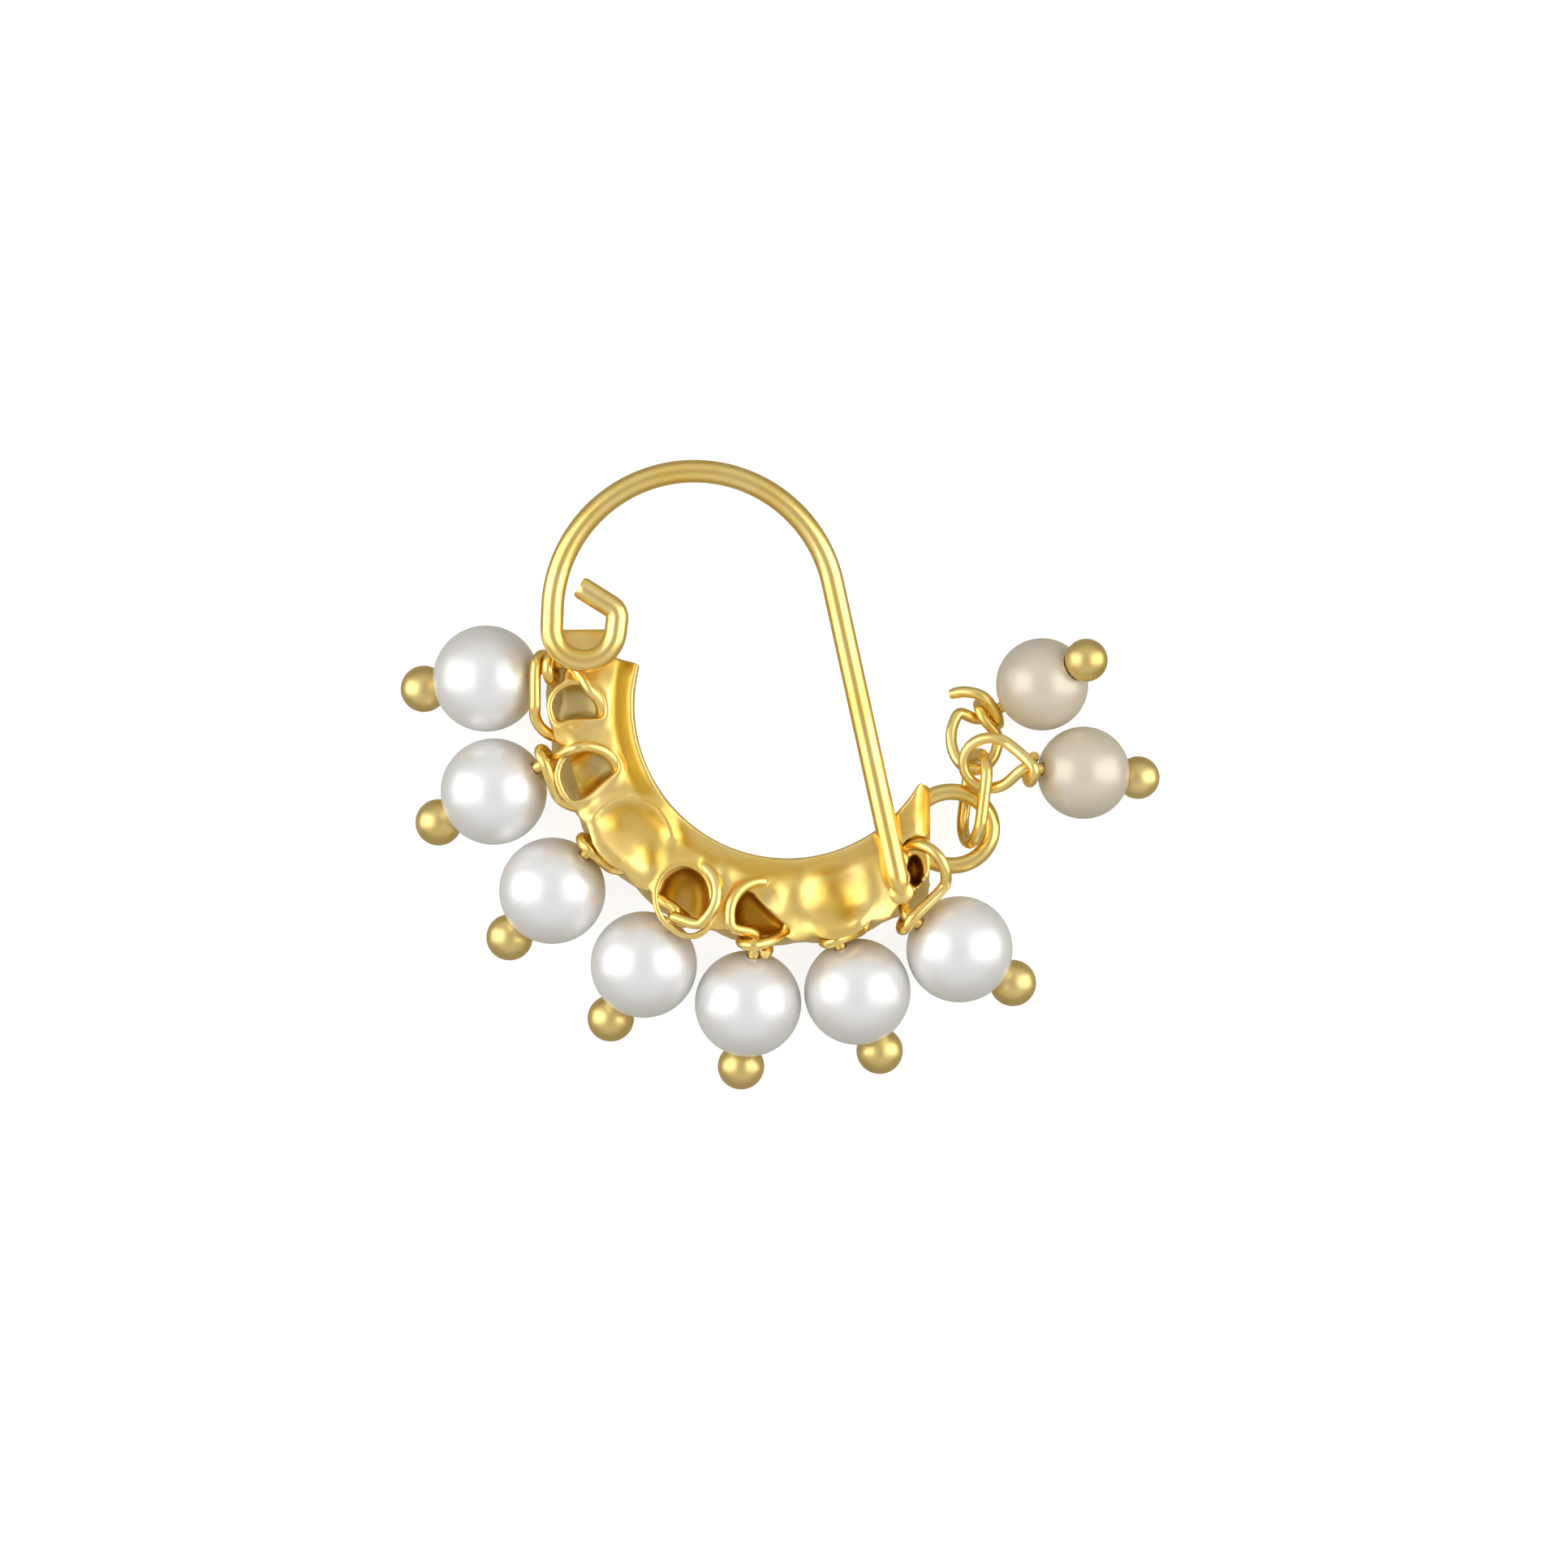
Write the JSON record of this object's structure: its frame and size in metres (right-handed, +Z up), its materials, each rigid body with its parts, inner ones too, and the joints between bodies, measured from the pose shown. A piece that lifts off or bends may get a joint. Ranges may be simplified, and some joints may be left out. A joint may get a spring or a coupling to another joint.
{
  "type": "nose pin",
  "caption": "Crescent nose pin with a press-on hook wire, a fringe of pearl drops on its outer edge and two pearls on an end link.",
  "frame": {"origin": "middle of the overall box in X and Y, at its bottom", "axes": "+Z up out of the pin's back, which faces up as it lies; +X towards the end link; +Y towards the bow of the hook wire"},
  "size_m": [0.0246, 0.0204, 0.0041],
  "materials": {
    "gold": "polished gold plating",
    "pearl_white": "soft pearl lustre",
    "pearl_cream": "soft pearl lustre"
  },
  "bodies": {
    "root": {"crescent_with_nose_wire": "gold", "head_pin_1": "gold", "head_pin_2": "gold", "head_pin_3": "gold", "head_pin_4": "gold", "head_pin_5": "gold", "head_pin_6": "gold", "head_pin_7": "gold", "head_pin_8": "gold", "head_pin_9": "gold", "end_jump_ring": "gold", "chain_link": "gold", "pearl_1": "pearl_white", "pearl_2": "pearl_white", "pearl_3": "pearl_white", "pearl_4": "pearl_white", "pearl_5": "pearl_white", "pearl_6": "pearl_white", "pearl_7": "pearl_white", "pearl_8": "pearl_cream", "pearl_9": "pearl_cream"}
  },
  "joints": []
}
